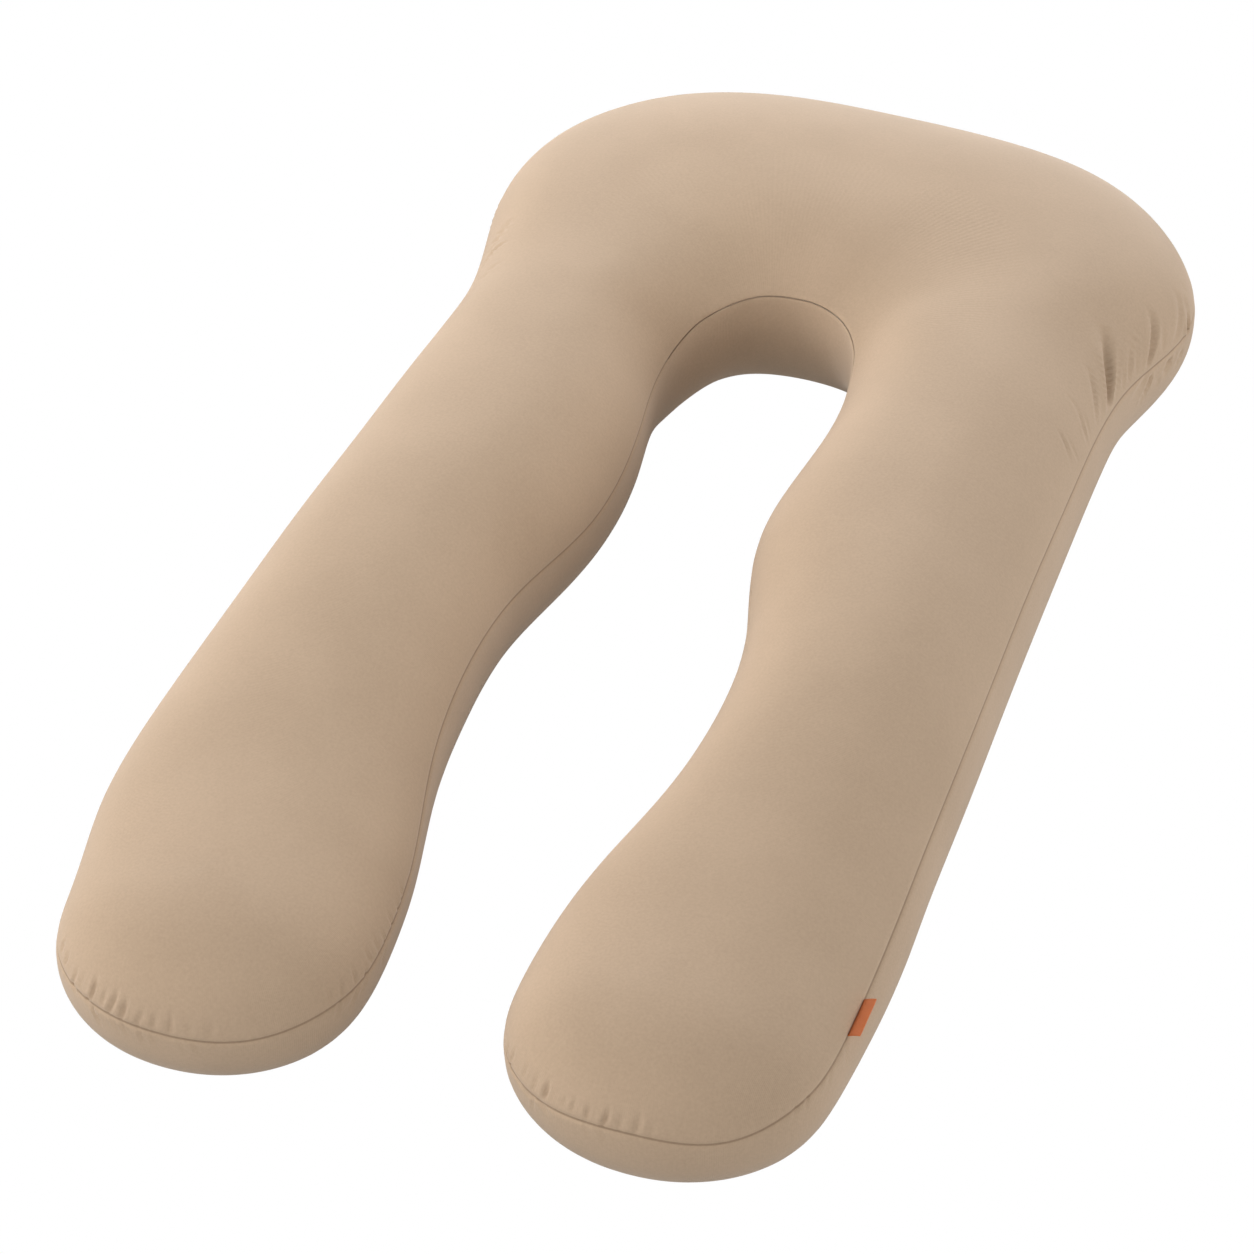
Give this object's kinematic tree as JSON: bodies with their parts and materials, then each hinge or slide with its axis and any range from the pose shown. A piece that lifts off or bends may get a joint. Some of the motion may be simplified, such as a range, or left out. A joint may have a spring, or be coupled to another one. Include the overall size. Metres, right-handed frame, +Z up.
{
  "type": "pregnancy pillow",
  "caption": "U-shaped full-body pregnancy pillow in plain tan jersey, stuffed legs and wide head, small orange side tab, lying flat.",
  "frame": {"origin": "middle of the bounding box in plan, on the surface that the pillow lies on", "axes": "+Z up, +Y along the legs towards the head, +X across the U towards the right leg, which has the side tab; the feet are at -Y"},
  "size_m": [0.7118, 1.4492, 0.1953],
  "materials": {
    "tan_jersey": "soft matte cotton jersey",
    "orange_tape": "fine woven satin tape"
  },
  "bodies": {
    "root": {"pillow": "tan_jersey", "side_tab": "orange_tape"}
  },
  "joints": []
}
